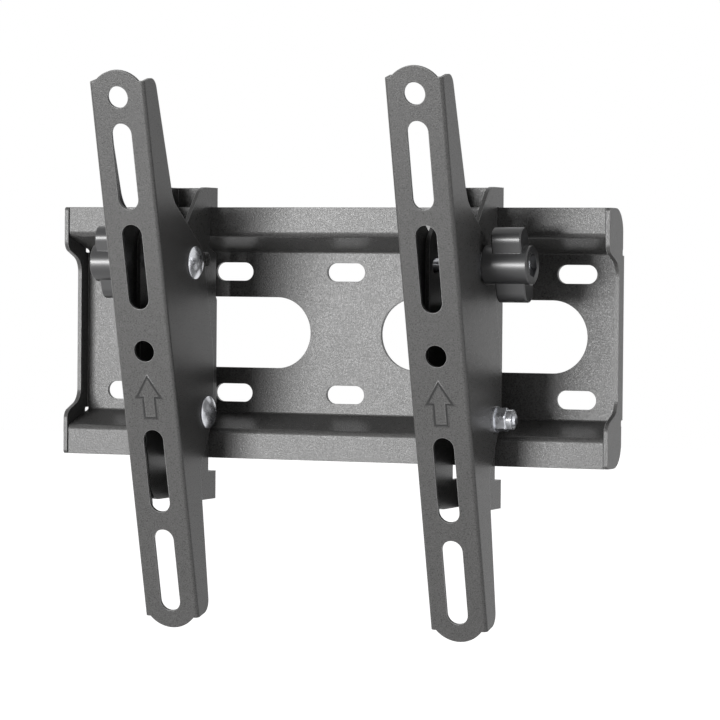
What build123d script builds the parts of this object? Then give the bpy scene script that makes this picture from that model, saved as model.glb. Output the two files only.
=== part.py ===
"""Tilting wall mount for a flat screen.

A folded steel wall plate carries two hook brackets that hang on its upper rail. A channel arm
is bolted over each bracket: it tilts about its lower bolt, and a wing knob on the upper bolt
clamps the tilt in the bracket's curved slot.

X runs along the wall, Y into the wall and Z up. The origin is the middle of the plate's back
face, which lies on the wall. Sizes are in millimetres and angles in degrees.
"""

from build123d import *

import os
from math import atan2, cos, degrees, hypot, radians

# Wall plate
plate_width = 280.0
plate_height = 120.5
plate_sheet = 2.0
plate_bend = 1.0  # inner radius of the folds
rail_depth = 23.5  # front of the rails, measured from the wall
rail_height = 13.0
rail_end_gap = 0.4  # between a rail's end and the end flange
panel_height = 79.7  # flat back panel, between its two outward steps
flange_depth = 9.5  # end flange beside the panel
ear_depth = 24.2  # end flange where it covers the rails
ear_wall_gap = 4.3  # ears stand this far off the wall
ear_corner = 11.0
ear_front_corner = 1.5
ear_slope = 5.0  # radius where the ear's front turns into its slope
ear_foot = 8.0  # radius where the slope runs out into the flange
ear_end = 40.0  # height of the ear's lower end
ear_run = 6.0  # height over which the ear falls back to the flange
relief_diameter = 3.2

# Openings in the wall plate
wall_slot_length = 19.6
wall_slot_width = 8.8
wall_slot_pitch = 58.5
wall_slot_count = 5
wall_slot_row_spacing = 58.9
window_length = 104.0
window_height = 34.3
window_pitch = 140.6

# Arms
arm_width = 28.0
arm_sheet = 1.6
arm_corner = 1.7  # outer radius of the folds
arm_tilt = 14.3  # pose in which the arms stand
arm_spacing = 146.8  # between the two arms' middles along the rails
arm_top = 128.7  # ends of the folded channel, measured from the centre hole
arm_bottom = 132.0
tongue_radius = 14.5
tongue_reach = 5.4  # tongue beyond the end of the channel
tongue_half = 11.6
end_depth_top = 12.6  # channel depth at the two ends
end_depth_bottom = 12.8
neck_depth_top = 18.8  # channel depth where the deep part begins and ends
neck_depth_bottom = 18.8
neck_top = 68.2
neck_bottom = 62.2
belly_depth_top = 46.0  # deep part that reaches back to the rails
belly_depth_bottom = 39.6
belly_top = 37.8
belly_kink = 12.0
belly_bottom = 41.8
end_rounding = 6.0
neck_rounding = 14.0
belly_rounding = 10.0
kink_rounding = 30.0

# Screen fixing pattern in the arms
hole_diameter = 10.3
hole_rise = 121.4  # top hole above the centre hole
slot_length = 40.8
slot_rises = (88.6, 40.7, -59.0, -108.5)

# Hook brackets
bracket_sheet = 2.0
bracket_corner = 2.4
bracket_top = 69.7
bracket_bottom = 80.4
bracket_back = 13.4  # the bracket's back stands this far off the wall
bracket_front = 56.8
bracket_foot = 42.4
bracket_shoulder = 44.7
bracket_taper_start = 19.8
bracket_slant_top = 33.6
slant_rounding = 11.0
front_rounding = 8.0
foot_rounding = 9.0
hook_grip = 6.0  # how far the hook reaches down behind the upper rail
hook_chamfer = 1.5
rail_clearance = 0.4  # between the hook slot and the rail's two faces
seat_gap = 0.15  # between the rail's top edge and the hook slot
lift_room = 6.7  # free height for lifting the bracket off
belly_setback = 16.7  # side plates below the upper rail
setback_end = 17.2
lower_step_clearance = 3.4

# Bolts and pivots
pivot_y = -30.9
pivot_z = -38.1
pivot_depth = 32.7  # lower bolt behind the arm's front face
pivot_drop = 39.0  # lower bolt below the centre hole
clamp_depth = 34.9  # upper bolt behind the arm's front face
clamp_rise = 34.3  # upper bolt above the centre hole
tilt_limits = (0.0, 15.0)
slot_end_room = 1.5  # free travel left at each end of the curved slot, in degrees
bolt_diameter = 6.0
bolt_clearance = 0.3
head_diameter = 15.6
head_height = 3.6
head_rim = 0.7
neck_square = 6.0
neck_length = 1.4
bolt_tip = 0.6
thread_clearance = 0.1
spacer_diameter = 14.0
spacer_thickness = 0.85
running_gap = 0.1
washer_diameter = 12.5
washer_thickness = 1.2
nut_flats = 10.0
nut_height = 5.0
nut_chamfer = 0.45
collar_diameter = 9.4
collar_height = 2.8
ring_diameter = 8.0
ring_height = 1.8
ring_clearance = 0.05
pivot_bolt_reach = 10.3  # bolt end beyond the arm's outer face

# Wing knobs
knob_boss_diameter = 18.3
knob_boss_length = 22.0
knob_span = 35.6
knob_wing = 11.4
knob_wing_start = 4.8
knob_wing_length = 14.4
knob_lean = 3.0  # wings lean forward of the arm's own line
knob_edge = 0.7
recess_depth = 7.6
recess_clearance = 0.15

# Worked out from the sizes above
rail_top = plate_height / 2
rail_bottom = rail_top - rail_height
panel_top = panel_height / 2
rail_line = rail_depth - plate_sheet / 2
step_slope = (rail_bottom - panel_top) / (rail_depth - plate_sheet)
bracket_width = arm_width - 2 * (arm_sheet + spacer_thickness + running_gap)
clamp_radius = hypot(clamp_rise + pivot_drop, clamp_depth - pivot_depth)
clamp_angle = degrees(atan2(clamp_depth - pivot_depth, clamp_rise + pivot_drop))
arm_frame = Pos(0, pivot_y, pivot_z) * Rot(arm_tilt, 0, 0) * Pos(0, -pivot_depth, pivot_drop)
outer_face = arm_width / 2
nut_bore = bolt_diameter + 2 * thread_clearance
dome_rise = head_height - head_rim
dome_radius = ((head_diameter / 2) ** 2 + dome_rise**2) / (2 * dome_rise)


def prism(outline, width):
    """Extrude an outline that is drawn with Y across and Z up to both sides of the YZ plane."""
    return extrude(Plane.YZ * outline, amount=width / 2, both=True)


def rod(diameter, length):
    """A round bar along X, from X = 0 outwards."""
    return extrude(Plane.YZ * Circle(diameter / 2), amount=length)


def ring(outer, inner, length):
    """A round bar along X, from X = 0 outwards, with a bore."""
    return rod(outer, length) - rod(inner, length)


def outline(*corners):
    """A face through the corners, each given as Y, Z and the radius that rounds it."""
    radii = [radius for _, _, radius in corners]
    return make_face(FilletPolyline(*[(y, z) for y, z, _ in corners], radius=radii, close=True))


def hexagon(flats, length):
    """A hexagonal bar along X, from X = 0 outwards, with its corners up and down."""
    return extrude(Plane.YZ * RegularPolygon(flats / 2, 6, major_radius=False, rotation=30), amount=length)


# Wall plate


def rails_and_panel():
    """Back panel with its two outward steps and the upright rails, folded from one sheet."""
    line = FilletPolyline(
        (-rail_line, rail_top),
        (-rail_line, rail_bottom),
        (-plate_sheet / 2, panel_top),
        (-plate_sheet / 2, -panel_top),
        (-rail_line, -rail_bottom),
        (-rail_line, -rail_top),
        radius=plate_bend + plate_sheet / 2,
    )
    rail_length = plate_width - 2 * (plate_sheet + rail_end_gap)
    return prism(trace(line, line_width=plate_sheet), rail_length)


def end_flange():
    """End flange of the plate with its two ears, as it stands about the YZ plane."""
    low = ear_end - ear_run
    panel_end = panel_top - relief_diameter / 2
    upper = outline(
        (0, 0, 0),
        (0, panel_end, 0),
        (-ear_wall_gap, panel_end, 0),
        (-ear_wall_gap, rail_top, ear_corner),
        (-ear_depth, rail_top, ear_front_corner),
        (-ear_depth, ear_end, ear_slope),
        (-flange_depth, low, ear_foot),
        (-flange_depth, 0, 0),
    )
    return prism(upper + mirror(upper, about=Plane.XZ), plate_sheet)


def plate_openings():
    """Screw slots, windows and corner reliefs of the wall plate, as one cutter."""
    slot = SlotOverall(wall_slot_length, wall_slot_width)
    window = SlotOverall(window_length, window_height)
    slots = GridLocations(wall_slot_pitch, wall_slot_row_spacing, wall_slot_count, 2) * slot
    windows = GridLocations(window_pitch, 0, 2, 1) * window
    relief = Circle(relief_diameter / 2)
    reliefs = GridLocations(plate_width - plate_sheet, panel_height, 2, 2) * relief
    through = extrude(Plane.XZ * (Sketch() + slots + windows), amount=2 * plate_sheet, both=True)
    return through + extrude(Plane.XZ * (Sketch() + reliefs), amount=flange_depth / 2, both=True)


def wall_plate():
    """The whole wall plate: panel, rails, end flanges and openings."""
    side = (plate_width - plate_sheet) / 2
    panel = Pos(0, -plate_sheet / 2, 0) * Box(plate_width, plate_sheet, panel_height - relief_diameter)
    pan = panel + [Pos(x, 0, 0) * end_flange() for x in (-side, side)]
    folds = [
        edge
        for edge in pan.edges().filter_by(Axis.Z)
        if abs(edge.center().Y) < 0.01 and abs(edge.center().X) > side
    ]
    body = rails_and_panel() - panel + fillet(folds, plate_bend + plate_sheet)
    return body - plate_openings()


# Hook brackets


def bracket_outline():
    """Side view of a hook bracket: hook, rail notches and lower tab."""
    hook_front = rail_depth + rail_clearance
    hook_rear = rail_depth - plate_sheet - rail_clearance
    grip = rail_top - hook_grip
    notch = rail_bottom - lift_room
    setback_top = notch - (hook_front - belly_setback) * step_slope
    low_step = lower_step_clearance - rail_bottom
    tab = -rail_top - lift_room
    return outline(
        (-bracket_back, bracket_top, 0),
        (-bracket_back, grip, 0),
        (hook_chamfer - hook_rear, grip, 0),
        (-hook_rear, grip + hook_chamfer, 0),
        (-hook_rear, rail_top + seat_gap, 0),
        (-hook_front, rail_top + seat_gap, 0),
        (-hook_front, notch, 0),
        (-belly_setback, setback_top, 0),
        (-belly_setback, setback_end, 0),
        (-bracket_back, setback_end - belly_setback + bracket_back, 0),
        (-bracket_back, low_step + (hook_front - bracket_back) * step_slope, 0),
        (-hook_front, low_step, 0),
        (-hook_front, tab, 0),
        (-bracket_back, tab, 0),
        (-bracket_back, -bracket_bottom, 0),
        (-bracket_foot, -bracket_bottom, foot_rounding),
        (-bracket_front, -bracket_taper_start, front_rounding),
        (-bracket_front, bracket_shoulder, front_rounding),
        (-bracket_slant_top, bracket_top, slant_rounding),
    )


def clamp_slot():
    """Curved slot in the side plates, centred on the lower bolt."""
    start = 90 + tilt_limits[0] - clamp_angle - slot_end_room
    sweep = tilt_limits[1] - tilt_limits[0] + 2 * slot_end_room
    arc = CenterArc((0, 0), clamp_radius, start, sweep)
    return SlotArc(arc, bolt_diameter + 2 * bolt_clearance)


def hook_bracket():
    """A hook bracket: two side plates joined at the back by the hook, a web and the lower tab."""
    body = prism(bracket_outline(), bracket_width)
    folds = [edge for edge in body.edges().filter_by(Axis.Z) if edge.center().Y > -bracket_back - 0.01]
    body = fillet(folds, bracket_corner)
    inside = bracket_width - 2 * bracket_sheet
    room = Box(inside, bracket_front, 4 * bracket_bottom)
    body -= Pos(0, -bracket_back - bracket_sheet - bracket_front / 2, 0) * room
    holes = Pos(pivot_y, pivot_z) * (Circle(bolt_diameter / 2 + bolt_clearance) + clamp_slot())
    return body - prism(holes, 2 * bracket_width)


# Arms


def arm_outline():
    """Side view of an arm: shallow at both ends, with a deep belly over the bracket."""
    return outline(
        (0, arm_top, 0),
        (end_depth_top, arm_top, end_rounding),
        (neck_depth_top, neck_top, neck_rounding),
        (belly_depth_top, belly_top, belly_rounding),
        (belly_depth_top, -belly_kink, kink_rounding),
        (belly_depth_bottom, -belly_bottom, belly_rounding),
        (neck_depth_bottom, -neck_bottom, neck_rounding),
        (end_depth_bottom, -arm_bottom, end_rounding),
        (0, -arm_bottom, 0),
    )


def tongue(end):
    """Rounded tongue of the front face beyond one end of the channel, drawn as a front view."""
    disc = Pos(0, end + tongue_reach - tongue_radius) * Circle(tongue_radius)
    strip = Pos(0, end) * Rectangle(2 * tongue_half, 2 * tongue_reach)
    return disc & strip


def screen_pattern():
    """Holes and slots for the screen's screws, drawn as a front view."""
    hole = Circle(hole_diameter / 2)
    slot = SlotOverall(slot_length, hole_diameter, rotation=90)
    return hole + Pos(0, hole_rise) * hole + [Pos(0, rise) * slot for rise in slot_rises]


def arm():
    """An arm in its tilted pose: a channel with tongues, screen pattern and bolt holes."""
    body = prism(arm_outline(), arm_width)
    body = fillet(body.edges().filter_by(Axis.Z).group_by(Axis.Y)[0], arm_corner)
    depth = 2 * belly_depth_top
    inside = Box(arm_width - 2 * arm_sheet, depth, 4 * arm_bottom)
    body -= Pos(0, arm_sheet + depth / 2, 0) * inside
    tongues = tongue(arm_top) + mirror(tongue(arm_bottom), about=Plane.XZ)
    body += extrude(Plane.XZ * tongues, amount=-arm_sheet)
    body -= extrude(Plane.XZ * screen_pattern(), amount=2 * arm_sheet, both=True)
    seats = Pos(pivot_depth, -pivot_drop), Pos(clamp_depth, clamp_rise)
    plain = Circle(bolt_diameter / 2 + bolt_clearance)
    square = Rectangle(neck_square + bolt_clearance, neck_square + bolt_clearance)
    inner = Plane.YZ * (Sketch() + [seat * square for seat in seats])
    outer = Plane.YZ * (Sketch() + [seat * plain for seat in seats])
    body -= extrude(inner, amount=-arm_width)
    return arm_frame * (body - extrude(outer, amount=arm_width))


# Bolts, nuts and washers


def carriage_bolt(reach):
    """A domed bolt along X, its square neck in the inner flange, reaching past the outer face."""
    radius = head_diameter / 2
    waist = -outer_face - head_rim
    dome = RadiusArc((waist, radius), (-outer_face - head_height, 0), -dome_radius)
    rim = Polyline((-outer_face - head_height, 0), (-outer_face, 0), (-outer_face, radius), (waist, radius))
    head = revolve(make_face(Curve() + [dome, rim]), Axis.X)
    neck = Pos(-outer_face + neck_length / 2, 0, 0) * Box(neck_length, neck_square, neck_square)
    shank_length = arm_width + reach
    shank = Pos(-outer_face, 0, 0) * rod(bolt_diameter, shank_length)
    tip = shank.edges().filter_by(GeomType.CIRCLE).sort_by(Axis.X)[-1]
    return head + neck + chamfer(tip, bolt_tip)


def chamfered_nut(height):
    """A hexagonal nut along X from X = 0, with both faces' corners chamfered round."""
    corner = nut_flats / 2 / cos(radians(30))
    blank = rod(2 * corner, height)
    blank = chamfer(blank.edges().filter_by(GeomType.CIRCLE), nut_chamfer)
    return (hexagon(nut_flats, height) & blank) - rod(nut_bore, height)


def lock_nut():
    """The lower bolt's lock nut, with a round collar that holds its plastic ring."""
    collar = Pos(nut_height, 0, 0) * ring(collar_diameter, nut_bore, collar_height)
    collar = chamfer(collar.edges().filter_by(GeomType.CIRCLE).sort_by(Axis.X)[-1], nut_chamfer)
    seat = Pos(nut_height + collar_height - ring_height, 0, 0) * rod(ring_diameter, ring_height)
    return chamfered_nut(nut_height) + collar - seat


# Wing knobs


def wing_knob():
    """A wing knob along X from X = 0: a round boss with two wings and a hexagonal nut recess."""
    boss = rod(knob_boss_diameter, knob_boss_length)
    boss = fillet(boss.edges().sort_by(Axis.X)[-1], knob_edge)
    wings = Plane.YZ * SlotOverall(knob_span, knob_wing, rotation=90)
    wings = extrude(wings, amount=knob_wing_length)
    ends = wings.faces().filter_by(Axis.X).edges()
    wings = Pos(knob_wing_start, 0, 0) * fillet(ends, knob_edge)
    recess = hexagon(nut_flats + 2 * recess_clearance, recess_depth)
    recess = Pos(knob_boss_length - recess_depth, 0, 0) * recess
    bore = rod(bolt_diameter + 2 * bolt_clearance, knob_boss_length)
    return Rot(knob_lean, 0, 0) * (boss + wings - recess - bore)


def pivot_line(shape, x=0.0):
    """Move a piece that is built along X to the lower bolt's line."""
    return arm_frame * Pos(x, pivot_depth, -pivot_drop) * shape


def clamp_line(shape, x=0.0):
    """Move a piece that is built along X to the upper bolt's line."""
    return arm_frame * Pos(x, clamp_depth, clamp_rise) * shape


def side_pieces():
    """Every piece of one arm and its bracket, built with X pointing outwards from the plate's middle."""
    washer = ring(washer_diameter, nut_bore, washer_thickness)
    spacer = ring(spacer_diameter, nut_bore, spacer_thickness)
    insert = ring(ring_diameter - 2 * ring_clearance, nut_bore, ring_height)
    inner_seat = arm_sheet - outer_face
    outer_seat = -inner_seat - spacer_thickness
    knob_base = outer_face + washer_thickness
    nut_base = knob_base + knob_boss_length - recess_depth
    return {
        "hook_bracket": hook_bracket(),
        "arm": arm(),
        "pivot_bolt": pivot_line(carriage_bolt(pivot_bolt_reach)),
        "pivot_washer": pivot_line(washer, outer_face),
        "pivot_nut": pivot_line(lock_nut(), knob_base),
        "pivot_nut_ring": pivot_line(insert, knob_base + nut_height + collar_height - ring_height),
        "pivot_spacer_inner": pivot_line(spacer, inner_seat),
        "pivot_spacer_outer": pivot_line(spacer, outer_seat),
        "tilt_bolt": clamp_line(carriage_bolt(nut_base + nut_height - outer_face)),
        "tilt_washer": clamp_line(washer, outer_face),
        "tilt_spacer_inner": clamp_line(spacer, inner_seat),
        "tilt_spacer_outer": clamp_line(spacer, outer_seat),
        "knob": clamp_line(wing_knob(), knob_base),
        "knob_nut": clamp_line(Rot(knob_lean, 0, 0) * chamfered_nut(nut_height), nut_base),
    }


def all_pieces():
    """Every piece of the mount by its name, at its place."""
    pieces = {"wall_plate": wall_plate()}
    for name, piece in side_pieces().items():
        pieces[f"left_{name}"] = Pos(-arm_spacing / 2, 0, 0) * mirror(piece, about=Plane.YZ)
        pieces[f"right_{name}"] = Pos(arm_spacing / 2, 0, 0) * piece
    return pieces


if __name__ == "__main__":
    os.makedirs("parts", exist_ok=True)
    for name, piece in all_pieces().items():
        export_step(piece, f"parts/{name}.step")
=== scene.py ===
# Looks of a tilting wall mount for a flat screen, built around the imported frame. Metres, in the
# frame of the CAD: X along the wall, Y into it, Z up.

import logging
import math
from dataclasses import dataclass, field
from enum import Enum

import bmesh
import bpy
import numpy as np
from mathutils import Matrix, Vector

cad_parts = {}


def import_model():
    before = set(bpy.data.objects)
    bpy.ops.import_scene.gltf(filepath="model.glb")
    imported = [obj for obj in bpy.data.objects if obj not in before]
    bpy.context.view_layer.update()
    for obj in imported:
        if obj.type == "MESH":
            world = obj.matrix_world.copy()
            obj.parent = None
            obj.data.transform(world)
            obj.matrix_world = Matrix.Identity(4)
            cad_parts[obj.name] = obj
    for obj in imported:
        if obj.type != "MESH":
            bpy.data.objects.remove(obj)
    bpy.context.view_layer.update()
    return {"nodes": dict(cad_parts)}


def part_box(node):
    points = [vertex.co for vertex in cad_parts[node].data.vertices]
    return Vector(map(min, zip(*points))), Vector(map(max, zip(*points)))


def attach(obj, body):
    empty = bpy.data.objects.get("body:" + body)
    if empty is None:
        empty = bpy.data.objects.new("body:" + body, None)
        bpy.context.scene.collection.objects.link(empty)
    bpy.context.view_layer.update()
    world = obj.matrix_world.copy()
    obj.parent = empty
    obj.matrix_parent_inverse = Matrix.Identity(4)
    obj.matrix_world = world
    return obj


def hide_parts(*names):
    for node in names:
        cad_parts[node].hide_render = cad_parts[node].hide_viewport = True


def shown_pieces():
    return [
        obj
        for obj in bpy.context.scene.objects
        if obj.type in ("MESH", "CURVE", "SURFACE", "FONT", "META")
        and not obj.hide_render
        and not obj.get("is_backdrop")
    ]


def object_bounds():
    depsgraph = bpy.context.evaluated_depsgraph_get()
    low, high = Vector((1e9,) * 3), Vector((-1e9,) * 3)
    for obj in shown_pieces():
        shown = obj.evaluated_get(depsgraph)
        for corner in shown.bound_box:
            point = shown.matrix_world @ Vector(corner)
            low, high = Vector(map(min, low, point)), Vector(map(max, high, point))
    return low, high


log = logging.getLogger("wall_mount")

MM = 0.001
WHITE = (1.0, 1.0, 1.0, 1.0)
MERGE_DISTANCE = 1e-7


class Side(Enum):
    """One of the two arms with its bracket, and the way outwards from the plate's middle."""

    LEFT = ("left", -1.0)
    RIGHT = ("right", 1.0)

    @property
    def label(self) -> str:
        """Prefix of the side's CAD nodes and bodies."""
        return self.value[0]

    @property
    def outward(self) -> float:
        """-1 where outwards is towards -X, and 1 where it is towards +X."""
        return self.value[1]


class Slot(Enum):
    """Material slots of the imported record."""

    COATED_STEEL = "coated_steel"
    ZINC_STEEL = "zinc_steel"


# Shader node groups

NOISE_MEAN = 0.5
DRIFT_SCALE = 22.0
# How fast the mask of the painted edge highlight rises as the bevel's normal departs from the
# face.
EDGE_HIGHLIGHT_SPREAD = 6.0

# How much of a change in tone carries over into roughness.
DRIFT_TO_ROUGHNESS = 0.5
GRAIN_TO_ROUGHNESS = 0.25
MOTTLE_TO_ROUGHNESS = 0.35


class NodeGroup:
    """A shader node group with named inputs and outputs, built once and shared by materials."""

    def __init__(self, name: str, inputs: dict[str, str], outputs: dict[str, str]) -> None:
        """Make the group with its sockets.

        Args:
            name: Name of the group.
            inputs: Kind of each input by its name: Color, Float or Vector.
            outputs: Kind of each output by its name.
        """
        self.tree = bpy.data.node_groups.new(name, "ShaderNodeTree")
        for in_out, sockets in (("INPUT", inputs), ("OUTPUT", outputs)):
            for label, kind in sockets.items():
                self.tree.interface.new_socket(
                    name=label, in_out=in_out, socket_type=f"NodeSocket{kind}"
                )
        self.inputs = self.tree.nodes.new("NodeGroupInput").outputs
        self.outputs = self.tree.nodes.new("NodeGroupOutput").inputs

    def node(self, kind: str, **settings: object) -> bpy.types.ShaderNode:
        """Add a node and set its properties. Returns the node."""
        return add_node(self.tree, kind, **settings)

    def link(self, source: bpy.types.NodeSocket, target: bpy.types.NodeSocket) -> None:
        """Join an output socket to an input socket."""
        self.tree.links.new(source, target)


def add_node(tree: bpy.types.NodeTree, kind: str, **settings: object) -> bpy.types.ShaderNode:
    """Add a shader node to a tree.

    Args:
        tree: Tree that gets the node.
        kind: Node type without its "ShaderNode" prefix.
        settings: Properties by name.

    Returns:
        The node.
    """
    node = tree.nodes.new("ShaderNode" + kind)
    for key, value in settings.items():
        setattr(node, key, value)
    return node


def set_inputs(node: bpy.types.ShaderNode, **values: object) -> None:
    """Set a node's inputs, with underscores for the spaces in their names."""
    for key, value in values.items():
        node.inputs[key.replace("_", " ")].default_value = value


def math_node(
    group: NodeGroup,
    operation: str,
    first: bpy.types.NodeSocket,
    second: bpy.types.NodeSocket | float,
) -> bpy.types.NodeSocket:
    """Add a Math node with two inputs.

    Args:
        group: Group that gets the node.
        operation: Math operation.
        first: First input.
        second: Second input, a socket or a number.

    Returns:
        The node's output.
    """
    node = group.node("Math", operation=operation)
    group.link(first, node.inputs[0])
    if isinstance(second, bpy.types.NodeSocket):
        group.link(second, node.inputs[1])
    else:
        node.inputs[1].default_value = second
    return node.outputs[0]


def speckle_group() -> NodeGroup:
    """Fine grain of a textured powder coat: speckle in tone and height, and slow drift in tone.

    Returns:
        A group that puts out Color, Roughness and Height.
    """
    group = NodeGroup(
        "coat_speckle",
        {
            "Vector": "Vector",
            "Color": "Color",
            "Grain Scale": "Float",
            "Contrast": "Float",
            "Drift": "Float",
            "Roughness": "Float",
        },
        {"Color": "Color", "Roughness": "Float", "Height": "Float"},
    )
    given = group.inputs
    grain = group.node("TexNoise", noise_dimensions="3D")
    set_inputs(grain, Detail=2.0, Roughness=0.6)
    group.link(given["Vector"], grain.inputs["Vector"])
    group.link(given["Grain Scale"], grain.inputs["Scale"])
    slow = group.node("TexNoise", noise_dimensions="3D")
    set_inputs(slow, Scale=DRIFT_SCALE, Detail=3.0)
    group.link(given["Vector"], slow.inputs["Vector"])
    grain_part = math_node(group, "SUBTRACT", grain.outputs["Fac"], NOISE_MEAN)
    grain_part = math_node(group, "MULTIPLY", grain_part, given["Contrast"])
    slow_part = math_node(group, "SUBTRACT", slow.outputs["Fac"], NOISE_MEAN)
    slow_part = math_node(group, "MULTIPLY", slow_part, given["Drift"])
    tone = math_node(group, "ADD", math_node(group, "ADD", grain_part, slow_part), 1.0)
    tinted = group.node("VectorMath", operation="SCALE")
    group.link(given["Color"], tinted.inputs[0])
    group.link(tone, tinted.inputs["Scale"])
    group.link(tinted.outputs[0], group.outputs["Color"])
    rough_drift = math_node(group, "MULTIPLY", slow_part, DRIFT_TO_ROUGHNESS)
    rough_grain = math_node(group, "MULTIPLY", grain_part, GRAIN_TO_ROUGHNESS)
    rough_part = math_node(group, "ADD", rough_drift, rough_grain)
    group.link(math_node(group, "ADD", rough_part, given["Roughness"]), group.outputs["Roughness"])
    group.link(grain.outputs["Fac"], group.outputs["Height"])
    return group


def edge_group() -> NodeGroup:
    """Rounded sheet edges: the normal of a small bevel, and a mask where it departs from the face,
    which places a painted highlight along the edges.

    Returns:
        A group that puts out the highlight mask and Normal.
    """
    group = NodeGroup(
        "rounded_edges",
        {"Radius": "Float", "Spread": "Float"},
        {"Mask": "Float", "Normal": "Vector"},
    )
    bevel = group.node("Bevel", samples=6)
    group.link(group.inputs["Radius"], bevel.inputs["Radius"])
    geometry = group.node("NewGeometry")
    dot = group.node("VectorMath", operation="DOT_PRODUCT")
    group.link(bevel.outputs[0], dot.inputs[0])
    group.link(geometry.outputs["Normal"], dot.inputs[1])
    away = group.node("Math", operation="SUBTRACT")
    away.inputs[0].default_value = 1.0
    group.link(dot.outputs["Value"], away.inputs[1])
    scaled = group.node("Math", operation="MULTIPLY", use_clamp=True)
    group.link(away.outputs[0], scaled.inputs[0])
    group.link(group.inputs["Spread"], scaled.inputs[1])
    group.link(scaled.outputs[0], group.outputs["Mask"])
    group.link(bevel.outputs[0], group.outputs["Normal"])
    return group


def mottle_group() -> NodeGroup:
    """Zinc plate: crystal mottle in tone and roughness, with a slight unevenness in height.

    Returns:
        A group that puts out Color, Roughness and Height.
    """
    group = NodeGroup(
        "zinc_mottle",
        {
            "Vector": "Vector",
            "Light": "Color",
            "Dark": "Color",
            "Scale": "Float",
            "Roughness": "Float",
        },
        {"Color": "Color", "Roughness": "Float", "Height": "Float"},
    )
    given = group.inputs
    cells = group.node("TexVoronoi", feature="SMOOTH_F1")
    set_inputs(cells, Smoothness=0.6)
    group.link(given["Vector"], cells.inputs["Vector"])
    group.link(given["Scale"], cells.inputs["Scale"])
    noise = group.node("TexNoise")
    set_inputs(noise, Detail=4.0)
    group.link(given["Vector"], noise.inputs["Vector"])
    group.link(given["Scale"], noise.inputs["Scale"])
    blend = group.node("Mix", data_type="RGBA")
    group.link(noise.outputs["Fac"], blend.inputs["Factor"])
    group.link(given["Dark"], blend.inputs["A"])
    group.link(given["Light"], blend.inputs["B"])
    group.link(blend.outputs["Result"], group.outputs["Color"])
    spread = math_node(group, "SUBTRACT", noise.outputs["Fac"], NOISE_MEAN)
    spread = math_node(group, "MULTIPLY", spread, MOTTLE_TO_ROUGHNESS)
    group.link(math_node(group, "ADD", spread, given["Roughness"]), group.outputs["Roughness"])
    height = math_node(group, "ADD", cells.outputs["Distance"], noise.outputs["Fac"])
    group.link(height, group.outputs["Height"])
    return group


@dataclass(frozen=True)
class Effects:
    """The shared node groups, one of each."""

    speckle: NodeGroup
    edges: NodeGroup
    mottle: NodeGroup

    @classmethod
    def build(cls) -> "Effects":
        """Make the groups. Returns them together."""
        return cls(speckle_group(), edge_group(), mottle_group())


# Finishes


class Surface:
    """A material with its Principled shader, Object coordinates and rounded edges in place."""

    def __init__(self, name: str, effects: Effects, edge_radius: float) -> None:
        """Make the material.

        Args:
            name: Name of the material.
            effects: Shared node groups.
            edge_radius: Radius of the rounded edges, in metres.
        """
        self.material = bpy.data.materials.new(name)
        self.material.use_nodes = True
        self.tree = self.material.node_tree
        self.shader = self.tree.nodes["Principled BSDF"]
        self.place = add_node(self.tree, "TexCoord").outputs["Object"]
        self.edges = self.group(effects.edges, Radius=edge_radius, Spread=EDGE_HIGHLIGHT_SPREAD)
        self.bump = add_node(self.tree, "Bump")
        self.link(self.edges.outputs["Normal"], self.bump.inputs["Normal"])
        self.link(self.bump.outputs["Normal"], self.shader.inputs["Normal"])

    def group(self, group: NodeGroup, **values: object) -> bpy.types.ShaderNode:
        """Place a shared group and set its inputs. Returns the node."""
        node = add_node(self.tree, "Group", node_tree=group.tree)
        set_inputs(node, **values)
        return node

    def skin(self, group: NodeGroup, **values: object) -> bpy.types.ShaderNode:
        """Place a texture's group in Object coordinates, as the roughness. Returns the node."""
        node = self.group(group, **values)
        self.link(self.place, node.inputs["Vector"])
        self.link(node.outputs["Roughness"], self.shader.inputs["Roughness"])
        return node

    def link(self, source: bpy.types.NodeSocket, target: bpy.types.NodeSocket) -> None:
        """Join an output socket to an input socket."""
        self.tree.links.new(source, target)

    def relief(self, height: bpy.types.NodeSocket, depth: float, strength: float) -> None:
        """Drive the bump by a height.

        Args:
            height: Height output.
            depth: Height difference between 0 and 1, in metres.
            strength: Strength of the bump.
        """
        self.bump.inputs["Distance"].default_value = depth
        self.bump.inputs["Strength"].default_value = strength
        self.link(height, self.bump.inputs["Height"])


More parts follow.
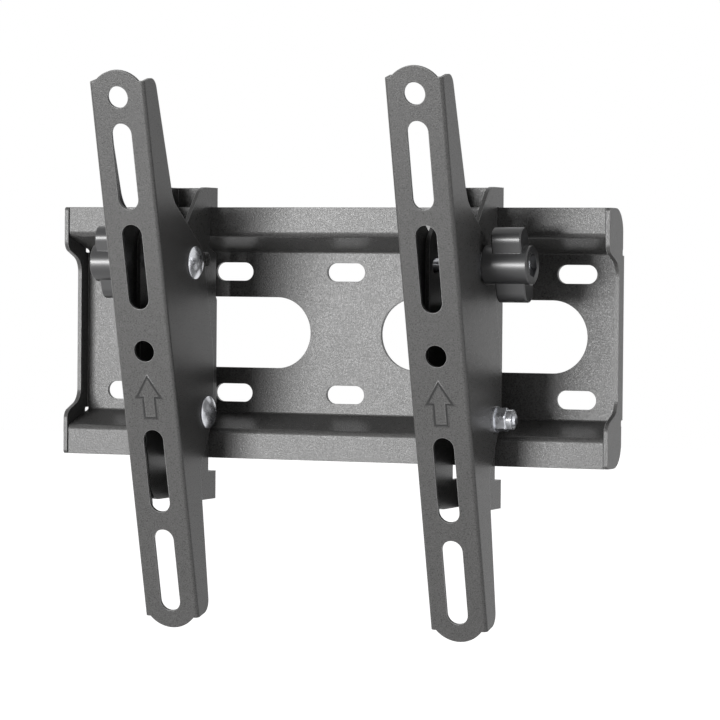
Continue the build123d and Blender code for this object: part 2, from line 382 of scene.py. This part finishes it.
@dataclass(frozen=True)
class PowderCoat:
    """Dark grey powder coat with a fine texture, a painted highlight along its sheet edges, and
    painted shade in a stamped groove where a groove mask is named.
    """

    name: str = "powder_coat"
    color: tuple[float, float, float, float] = (0.066, 0.0652, 0.0643, 1.0)
    # Lighter grey of the painted highlight along the sheet edges.
    edge_highlight_color: tuple[float, float, float, float] = (0.36, 0.36, 0.36, 1.0)
    # Near black of the painted shade in a stamped groove.
    groove_shade_color: tuple[float, float, float, float] = (0.004, 0.004, 0.004, 1.0)
    roughness: float = 0.34
    specular: float = 0.34
    edge_radius: float = 0.45 * MM
    grain_scale: float = 1800.0
    contrast: float = 2.0
    drift: float = 0.14
    relief: float = 0.16 * MM
    relief_strength: float = 0.5
    # Attribute that places the painted shade of a stamped groove; empty for none.
    groove_shade_mask: str = ""

    def material(self, effects: Effects) -> bpy.types.Material:
        """Build the coat's material.

        Args:
            effects: Shared node groups.

        Returns:
            The material.
        """
        surface = Surface(self.name, effects, self.edge_radius)
        speckle = surface.skin(
            effects.speckle,
            Color=self.color,
            Grain_Scale=self.grain_scale,
            Contrast=self.contrast,
            Drift=self.drift,
            Roughness=self.roughness,
        )
        # Painted highlight: a lighter grey is mixed in along the sheet edges.
        edge = add_node(surface.tree, "Mix", data_type="RGBA")
        edge.inputs["B"].default_value = self.edge_highlight_color
        surface.link(surface.edges.outputs["Mask"], edge.inputs["Factor"])
        surface.link(speckle.outputs["Color"], edge.inputs["A"])
        color = edge.outputs["Result"]
        # Painted shade: the stamped groove's middle is mixed towards near black.
        if self.groove_shade_mask:
            mask = add_node(surface.tree, "Attribute", attribute_name=self.groove_shade_mask)
            groove = add_node(surface.tree, "Mix", data_type="RGBA")
            groove.inputs["B"].default_value = self.groove_shade_color
            surface.link(mask.outputs["Fac"], groove.inputs["Factor"])
            surface.link(color, groove.inputs["A"])
            color = groove.outputs["Result"]
        surface.link(color, surface.shader.inputs["Base Color"])
        set_inputs(surface.shader, Specular_IOR_Level=self.specular)
        surface.relief(speckle.outputs["Height"], self.relief, self.relief_strength)
        return surface.material


@dataclass(frozen=True)
class ZincPlate:
    """Bright zinc plate on bolts, nuts and washers."""

    name: str = "zinc_plate"
    light: tuple[float, float, float, float] = (0.82, 0.83, 0.86, 1.0)
    dark: tuple[float, float, float, float] = (0.42, 0.43, 0.46, 1.0)
    roughness: float = 0.3
    scale: float = 300.0
    relief: float = 0.07 * MM
    relief_strength: float = 0.35
    edge_radius: float = 0.25 * MM

    def material(self, effects: Effects) -> bpy.types.Material:
        """Build the plate's material.

        Args:
            effects: Shared node groups.

        Returns:
            The material.
        """
        surface = Surface(self.name, effects, self.edge_radius)
        mottle = surface.skin(
            effects.mottle,
            Light=self.light,
            Dark=self.dark,
            Scale=self.scale,
            Roughness=self.roughness,
        )
        surface.link(mottle.outputs["Color"], surface.shader.inputs["Base Color"])
        set_inputs(surface.shader, Metallic=1.0)
        surface.relief(mottle.outputs["Height"], self.relief, self.relief_strength)
        return surface.material


@dataclass(frozen=True)
class Moulding:
    """Moulded plastic with a fine skin."""

    name: str
    color: tuple[float, float, float, float]
    roughness: float
    specular: float = 0.5
    edge_radius: float = 0.3 * MM
    grain_scale: float = 2600.0
    contrast: float = 0.25
    drift: float = 0.2
    relief: float = 0.02 * MM
    relief_strength: float = 0.4

    def material(self, effects: Effects) -> bpy.types.Material:
        """Build the plastic's material.

        Args:
            effects: Shared node groups.

        Returns:
            The material.
        """
        surface = Surface(self.name, effects, self.edge_radius)
        skin = surface.skin(
            effects.speckle,
            Color=self.color,
            Grain_Scale=self.grain_scale,
            Contrast=self.contrast,
            Drift=self.drift,
            Roughness=self.roughness,
        )
        surface.link(skin.outputs["Color"], surface.shader.inputs["Base Color"])
        set_inputs(surface.shader, Specular_IOR_Level=self.specular)
        surface.relief(skin.outputs["Height"], self.relief, self.relief_strength)
        return surface.material


@dataclass(frozen=True)
class Finishes:
    """Every finish of the mount as a material."""

    coat: bpy.types.Material
    stamped_shade_coat: bpy.types.Material
    zinc: bpy.types.Material
    knob: bpy.types.Material
    spacer: bpy.types.Material
    nut_ring: bpy.types.Material

    @classmethod
    def build(cls) -> "Finishes":
        """Make the materials. Returns them together."""
        effects = Effects.build()
        finishes = {
            "coat": PowderCoat(),
            # The arrow's coat, with painted shade in the middle of its stamped line.
            "stamped_shade_coat": PowderCoat(name="stamped_shade_coat", groove_shade_mask="groove"),
            "zinc": ZincPlate(),
            "knob": Moulding(
                name="satin_black_moulding",
                color=(0.016, 0.016, 0.017, 1.0),
                roughness=0.34,
                specular=0.7,
            ),
            "spacer": Moulding(
                name="black_nylon", color=(0.03, 0.03, 0.032, 1.0), roughness=0.55
            ),
            "nut_ring": Moulding(
                name="natural_nylon", color=(0.7, 0.72, 0.74, 1.0), roughness=0.45
            ),
        }
        return cls(**{name: finish.material(effects) for name, finish in finishes.items()})


# Meshes


def grid_mesh(
    name: str, points: np.ndarray, close_rows: bool = False, close_columns: bool = False
) -> bpy.types.Object:
    """Turn a grid of points into a smooth mesh object at the origin.

    Args:
        name: Name of the object.
        points: Array of rows by columns by 3.
        close_rows: Join the last row to the first.
        close_columns: Join the last column to the first.

    Returns:
        The object, linked to the scene.
    """
    rows, columns = points.shape[:2]
    row = np.arange(rows if close_rows else rows - 1)
    column = np.arange(columns if close_columns else columns - 1)
    row, column = (a.ravel() for a in np.meshgrid(row, column, indexing="ij"))
    next_row, next_column = (row + 1) % rows, (column + 1) % columns
    corners = [(row, column), (row, next_column), (next_row, next_column), (next_row, column)]
    faces = np.stack([r * columns + c for r, c in corners], axis=1)
    mesh = bpy.data.meshes.new(name)
    mesh.from_pydata(points.reshape(-1, 3), [], faces)
    mesh.polygons.foreach_set("use_smooth", np.ones(len(faces), bool))
    mesh.update()
    piece = bpy.data.objects.new(name, mesh)
    bpy.context.scene.collection.objects.link(piece)
    return piece


def clean_mesh(piece: bpy.types.Object) -> None:
    """Merge points that fall together, as where a row shrinks to a pole, and align the normals."""
    mesh = bmesh.new()
    mesh.from_mesh(piece.data)
    bmesh.ops.remove_doubles(mesh, verts=mesh.verts, dist=MERGE_DISTANCE)
    bmesh.ops.recalc_face_normals(mesh, faces=mesh.faces)
    mesh.to_mesh(piece.data)
    mesh.free()


def dress(piece: bpy.types.Object, material: bpy.types.Material) -> None:
    """Give a piece one material in place of those it has."""
    piece.data.materials.clear()
    piece.data.materials.append(material)


# Sub-assemblies


@dataclass(frozen=True)
class TiltLine:
    """Directions and origin of one arm in its tilted pose, worked out from its two bolts."""

    origin: np.ndarray
    across: np.ndarray
    along: np.ndarray
    depth: np.ndarray

    @classmethod
    def of_side(
        cls, side: Side, pivot_depth: float, pivot_drop: float, clamp: tuple[float, float]
    ) -> "TiltLine":
        """Work out the arm's frame.

        The two washers' centres give the bolts' lines. The arm's own direction is the line
        between them, turned back by the angle that their places in the arm make.

        Args:
            side: Which arm.
            pivot_depth: Lower bolt behind the arm's front face.
            pivot_drop: Lower bolt below the centre hole.
            clamp: Upper bolt's depth behind the front face and height above the centre hole.

        Returns:
            The frame, with its origin on the front face at the centre hole.
        """
        lower, upper, arm = (
            sum((np.array(corner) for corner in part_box(f"{side.label}_{part}")), np.zeros(3)) / 2
            for part in ("pivot_washer", "tilt_washer", "arm")
        )
        rise = upper - lower
        own = math.atan2(clamp[0] - pivot_depth, clamp[1] + pivot_drop)
        lean = math.atan2(-rise[1], rise[2]) + own
        along = np.array([0.0, -math.sin(lean), math.cos(lean)])
        depth = np.array([0.0, math.cos(lean), math.sin(lean)])
        origin = np.array([arm[0], lower[1], lower[2]]) - depth * pivot_depth + along * pivot_drop
        return cls(origin, np.array([1.0, 0.0, 0.0]), along, depth)

    def points(self, across: np.ndarray, along: np.ndarray, depth: np.ndarray) -> np.ndarray:
        """Turn arm coordinates into points of the scene, along a new last axis."""
        return (
            self.origin
            + across[..., None] * self.across
            + along[..., None] * self.along
            + depth[..., None] * self.depth
        )


@dataclass
class ArrowMark:
    """Outline of an upward arrow, stamped into an arm's front face as a line with raised lips and
    a middle whose shade is painted dark.

    The heights along the arm are measured from its centre hole, and the others from its face.
    Lip rise is how fast a lip climbs, and mask edge how far out the groove's painted shade
    reaches, both as multiples of the width of the lip and of the groove.
    """

    apex: float = -12.8 * MM
    shoulder: float = -22.7 * MM
    foot: float = -32.7 * MM
    head_half: float = 6.3 * MM
    shaft_half: float = 3.15 * MM
    line_half: float = 1.0 * MM
    groove_half: float = 0.5 * MM
    lip_height: float = 0.12 * MM
    groove_height: float = 0.02 * MM
    sunk: float = 0.02 * MM
    lip_rise: float = 2.0
    shade_mask_edge: float = 1.6
    profile_points: int = 9

    def corners(self) -> np.ndarray:
        """The outline's corners, across and along the arm, going round anticlockwise."""
        right = [
            (self.shaft_half, self.foot),
            (self.shaft_half, self.shoulder),
            (self.head_half, self.shoulder),
        ]
        left = [(-x, z) for x, z in reversed(right)]
        return np.array([*right, (0.0, self.apex), *left])

    def build(self, name: str, line: TiltLine) -> bpy.types.Object:
        """Sweep the stamped line's profile round the outline with mitred corners.

        At each corner the profile runs along the mitre, n1 + n2 over 1 + n1.n2, where n1 and n2
        are the normals of the two runs that meet there.

        Args:
            name: Name of the piece.
            line: Frame of the arm.

        Returns:
            The piece, with the mask of its groove's painted shade as the attribute "groove".
        """
        path = self.corners()
        run = np.roll(path, -1, axis=0) - path
        run /= np.linalg.norm(run, axis=1, keepdims=True)
        normal = np.stack([run[:, 1], -run[:, 0]], axis=1)
        before = np.roll(normal, 1, axis=0)
        mitre = (normal + before) / (1 + np.sum(normal * before, axis=1, keepdims=True))
        offset = np.linspace(-1.0, 1.0, self.profile_points)
        inner = self.groove_half / self.line_half
        lip = np.clip((1 - np.abs(offset)) / (1 - inner) * self.lip_rise, 0, 1)
        height = -self.sunk + (self.lip_height + self.sunk) * lip
        height = np.where(np.abs(offset) < inner, self.groove_height, height)
        flat = path[:, None, :] + offset[None, :, None] * self.line_half * mitre[:, None, :]
        depth = np.broadcast_to(-height, flat.shape[:2])
        points = line.points(flat[..., 0], flat[..., 1], depth)
        piece = grid_mesh(name, points, close_rows=True)
        # Mask of the painted shade in the line's middle, fading out towards the lips.
        groove = piece.data.attributes.new("groove", "FLOAT", "POINT")
        mask = np.clip(self.shade_mask_edge - np.abs(offset) / inner, 0, 1)
        mask = np.broadcast_to(mask, flat.shape[:2])
        groove.data.foreach_set("value", mask.astype(np.float32).ravel())
        clean_mesh(piece)
        return piece


@dataclass
class CarriageBolt:
    """A domed bolt with a square neck and a cut thread, in place of its plain CAD solid."""

    diameter: float = 6.0 * MM
    pitch: float = 1.0 * MM
    thread_depth: float = 0.55 * MM
    thread_length: float = 20.0 * MM
    tip: float = 0.6 * MM
    head_height: float = 3.6 * MM
    head_rim: float = 0.7 * MM
    head_bevel: float = 0.15 * MM
    neck_length: float = 1.4 * MM
    neck_half: float = 3.0 * MM
    neck_corner: float = 1.3
    neck_flare: float = 1.35
    plain_length: float = 1.0 * MM
    tooth_gain: float = 1.25
    tooth_crest: float = 0.1
    dome_rows: int = 15
    around: int = 64
    steps_per_pitch: int = 14

    def build(self, node: str, side: Side) -> bpy.types.Object:
        """Build the bolt on its CAD node's line.

        The surface runs round the axis and along it from the head's middle to the tip. Its
        radius is the dome's arc, the rim, the square neck 1 / max(|cos|, |sin|), the shank,
        and then the thread, which falls from the full radius by a flattened tooth of the phase
        x / pitch - angle / 2 pi, and narrows to a chamfer at the tip. The neck's corners are
        cut at its half width times the neck's corner value.

        Args:
            node: CAD node that the bolt replaces.
            side: Which arm the bolt is in.

        Returns:
            The piece.
        """
        low, high = (np.array(corner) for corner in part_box(node))
        length = high[0] - low[0]
        start = low[0] if side.outward > 0 else high[0]
        radius = (high[2] - low[2]) / 2
        shank = self.diameter / 2
        rise = self.head_height - self.head_rim
        dome = (radius**2 + rise**2) / (2 * rise)
        cap = radius * np.sin(np.linspace(0.0, 1.0, self.dome_rows) * math.pi / 2)
        head_x = dome - np.sqrt(dome**2 - cap**2)
        under_x = self.head_height - np.array([self.head_bevel, 0.0, 0.0])
        under_r = np.array([radius, radius - self.head_bevel, shank * self.neck_flare])
        neck_x = self.head_height + np.array([0.0, self.neck_length, self.neck_length])
        neck_end = self.head_height + self.neck_length + self.plain_length
        plain_end = max(length - self.thread_length, neck_end)
        count = int((length - plain_end) / self.pitch * self.steps_per_pitch)
        thread_x = np.linspace(plain_end, length, count)
        x = np.concatenate([head_x, under_x, neck_x, thread_x, [length]])
        angle = np.arange(self.around) * 2 * math.pi / self.around
        base = np.concatenate([cap, under_r, np.full(len(neck_x) + count, shank), [0.0]])
        r = np.repeat(base[:, None], self.around, axis=1)
        neck = len(cap) + len(under_x)
        square = self.neck_half / np.maximum(np.abs(np.cos(angle)), np.abs(np.sin(angle)))
        r[neck : neck + 2] = np.minimum(square, self.neck_half * self.neck_corner)
        phase = thread_x[:, None] / self.pitch - angle / (2 * math.pi) * side.outward
        tooth = np.abs((phase % 1.0) * 2 - 1)
        cut = self.thread_depth * np.clip(tooth * self.tooth_gain - self.tooth_crest, 0, 1)
        fade_in = np.clip((thread_x - plain_end) / self.pitch, 0, 1)[:, None]
        taper = np.clip((thread_x - (length - self.tip)) / self.tip, 0, 1)[:, None] * self.tip
        r[neck + len(neck_x) : -1] = np.minimum(shank - cut * fade_in, shank - taper)
        points = np.empty((len(x), self.around, 3))
        points[..., 0] = start + side.outward * x[:, None]
        points[..., 1] = (low[1] + high[1]) / 2 + r * np.cos(angle) * side.outward
        points[..., 2] = (low[2] + high[2]) / 2 + r * np.sin(angle)
        piece = grid_mesh(f"{node}_threaded", points, close_columns=True)
        clean_mesh(piece)
        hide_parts(node)
        return piece


@dataclass
class WallPlate:
    """The folded plate that is screwed to the wall."""

    nodes: dict[str, bpy.types.Object]
    finishes: Finishes

    def build(self) -> None:
        """Dress the plate."""
        dress(self.nodes["wall_plate"], self.finishes.coat)
        log.info("wall plate dressed")


@dataclass
class SideAssembly:
    """A hook bracket with its arm, bolts, nuts, washers, spacers and knob.

    The lower bolt's depth behind the arm's face and drop below its centre hole, and the upper
    bolt's depth and rise, are those of the CAD's arm.
    """

    side: Side
    nodes: dict[str, bpy.types.Object]
    finishes: Finishes
    pivot_depth: float = 32.7 * MM
    pivot_drop: float = 39.0 * MM
    clamp: tuple[float, float] = (34.9 * MM, 34.3 * MM)
    arrow: ArrowMark = field(default_factory=ArrowMark)
    bolt: CarriageBolt = field(default_factory=CarriageBolt)

    def node(self, part: str) -> bpy.types.Object:
        """The CAD node of one of this side's parts."""
        return self.nodes[f"{self.side.label}_{part}"]

    def build(self) -> None:
        """Dress this side's CAD nodes and add its new pieces."""
        self.dress_nodes()
        self.add_bolts()
        self.add_arrow()
        log.info("%s side built", self.side.label)

    def dress_nodes(self) -> None:
        """Give each CAD node of the side its finish."""
        finish_of = {
            self.finishes.coat: ("arm", "hook_bracket"),
            self.finishes.zinc: ("pivot_washer", "pivot_nut", "tilt_washer", "knob_nut"),
            self.finishes.knob: ("knob",),
            self.finishes.nut_ring: ("pivot_nut_ring",),
            self.finishes.spacer: (
                "pivot_spacer_inner",
                "pivot_spacer_outer",
                "tilt_spacer_inner",
                "tilt_spacer_outer",
            ),
        }
        for material, parts in finish_of.items():
            for part in parts:
                dress(self.node(part), material)

    def add_bolts(self) -> None:
        """Put threaded bolts in place of the plain ones."""
        for part in ("pivot_bolt", "tilt_bolt"):
            piece = self.bolt.build(f"{self.side.label}_{part}", self.side)
            dress(piece, self.finishes.zinc)
            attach(piece, f"{self.side.label}_arm")

    def add_arrow(self) -> None:
        """Stamp the arrow into the arm's front face."""
        line = TiltLine.of_side(self.side, self.pivot_depth, self.pivot_drop, self.clamp)
        piece = self.arrow.build(f"{self.side.label}_arrow_mark", line)
        dress(piece, self.finishes.stamped_shade_coat)
        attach(piece, f"{self.side.label}_arm")


# Studio


@dataclass
class Camera:
    """The photograph's viewpoint, from the perspective fit."""

    azimuth: float = 22.17
    elevation: float = 1.45
    roll: float = 0.49
    distance: float = 1.65019
    target: tuple[float, float, float] = (0.01491, -0.020, -0.01200)
    focal_pixels: float = 3480.07
    picture: float = 720.0
    sensor: float = 36.0
    clip_end: float = 50.0

    def build(self) -> None:
        """Make the scene's camera."""
        a, e, roll = (math.radians(v) for v in (self.azimuth, self.elevation, self.roll))
        back = Vector((math.sin(a) * math.cos(e), -math.cos(a) * math.cos(e), math.sin(e)))
        right = Vector((math.cos(a), math.sin(a), 0.0))
        up = back.cross(right)
        across = right * math.cos(roll) + up * math.sin(roll)
        upright = up * math.cos(roll) - right * math.sin(roll)
        data = bpy.data.cameras.new("photo_camera")
        data.sensor_width = self.sensor
        data.lens = self.focal_pixels / self.picture * self.sensor
        data.clip_end = self.clip_end
        camera = bpy.data.objects.new("photo_camera", data)
        bpy.context.scene.collection.objects.link(camera)
        turn = Matrix((across, upright, back)).transposed().to_4x4()
        camera.matrix_world = Matrix.Translation(Vector(self.target) + back * self.distance) @ turn
        bpy.context.scene.camera = camera
        log.info("camera placed")


@dataclass
class Lamp:
    """A rectangular soft light, aimed at the frame's origin, with lengths in metres."""

    name: str
    azimuth: float
    elevation: float
    distance: float
    width: float
    height: float
    radiance: float

    def build(self) -> None:
        """Make the lamp. Its power is radiance times pi times its area."""
        a, e = math.radians(self.azimuth), math.radians(self.elevation)
        away = Vector((math.sin(a) * math.cos(e), -math.cos(a) * math.cos(e), math.sin(e)))
        data = bpy.data.lights.new(self.name, "AREA")
        data.shape = "RECTANGLE"
        data.size, data.size_y = self.width, self.height
        data.energy = self.radiance * math.pi * self.width * self.height
        lamp = bpy.data.objects.new(self.name, data)
        bpy.context.scene.collection.objects.link(lamp)
        lamp.location = away * self.distance
        lamp.rotation_euler = away.to_track_quat("Z", "Y").to_euler()


@dataclass
class Studio:
    """Floor, surroundings and soft lamps. Ambient and floor glow are strengths."""

    floor_gap: float = 0.12
    floor_half: float = 4.0
    floor_color: tuple[float, float, float, float] = (0.86, 0.86, 0.86, 1.0)
    floor_roughness: float = 0.9
    floor_glow: float = 0.97
    ambient: float = 0.12
    lamps: tuple[Lamp, ...] = (
        Lamp(
            "softbox",
            azimuth=-22.0,
            elevation=1.0,
            distance=1.7,
            width=0.78,
            height=0.26,
            radiance=46.0,
        ),
        Lamp(
            "side_fill",
            azimuth=75.0,
            elevation=5.0,
            distance=1.7,
            width=0.8,
            height=1.0,
            radiance=2.0,
        ),
    )

    def build(self) -> None:
        """Make the whole studio."""
        self.build_world()
        self.build_floor()
        for lamp in self.lamps:
            lamp.build()
        bpy.context.scene.view_settings.view_transform = "Standard"
        log.info("studio built")

    def build_world(self) -> None:
        """White to the camera, gloss and glass, and a plain grey light to matt surfaces."""
        world = bpy.data.worlds.new("studio_world")
        world.use_nodes = True
        bpy.context.scene.world = world
        tree = world.node_tree
        background = tree.nodes["Background"]
        set_inputs(background, Color=WHITE)
        strength = add_node(tree, "Mix", data_type="FLOAT")
        set_inputs(strength, A=self.ambient, B=1.0)
        tree.links.new(self.seen_white(tree), strength.inputs["Factor"])
        tree.links.new(strength.outputs["Result"], background.inputs["Strength"])

    @staticmethod
    def seen_white(tree: bpy.types.NodeTree) -> bpy.types.NodeSocket:
        """A value of 1 for camera, glossy and transmission rays, and 0 for the rest."""
        path = add_node(tree, "LightPath")
        total = path.outputs["Is Camera Ray"]
        for label in ("Is Glossy Ray", "Is Transmission Ray"):
            either = add_node(tree, "Math", operation="MAXIMUM")
            tree.links.new(total, either.inputs[0])
            tree.links.new(path.outputs[label], either.inputs[1])
            total = either.outputs[0]
        return total

    def build_floor(self) -> None:
        """A plain pale floor below the mount, which glows near white where the world does."""
        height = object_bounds()[0].z - self.floor_gap
        side = np.array([-self.floor_half, self.floor_half])
        x, y = np.meshgrid(side, side, indexing="ij")
        points = np.stack([x, y, np.full_like(x, height)], axis=-1)
        floor = grid_mesh("floor", points)
        material = bpy.data.materials.new("pale_floor")
        material.use_nodes = True
        tree = material.node_tree
        shader = tree.nodes["Principled BSDF"]
        set_inputs(shader, Base_Color=self.floor_color, Roughness=self.floor_roughness)
        set_inputs(shader, Emission_Color=WHITE)
        glow = add_node(tree, "Math", operation="MULTIPLY")
        glow.inputs[1].default_value = self.floor_glow
        tree.links.new(self.seen_white(tree), glow.inputs[0])
        tree.links.new(glow.outputs[0], shader.inputs["Emission Strength"])
        dress(floor, material)
        floor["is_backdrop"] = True


def main() -> None:
    """Build the mount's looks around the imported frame."""
    logging.basicConfig(level=logging.INFO, format="%(name)s: %(message)s")
    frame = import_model()
    Camera().build()
    finishes = Finishes.build()
    WallPlate(frame["nodes"], finishes).build()
    for side in Side:
        SideAssembly(side, frame["nodes"], finishes).build()
    Studio().build()
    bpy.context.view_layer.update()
    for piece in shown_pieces():
        log.info("piece %s", piece.name)


if __name__ == "__main__":
    main()
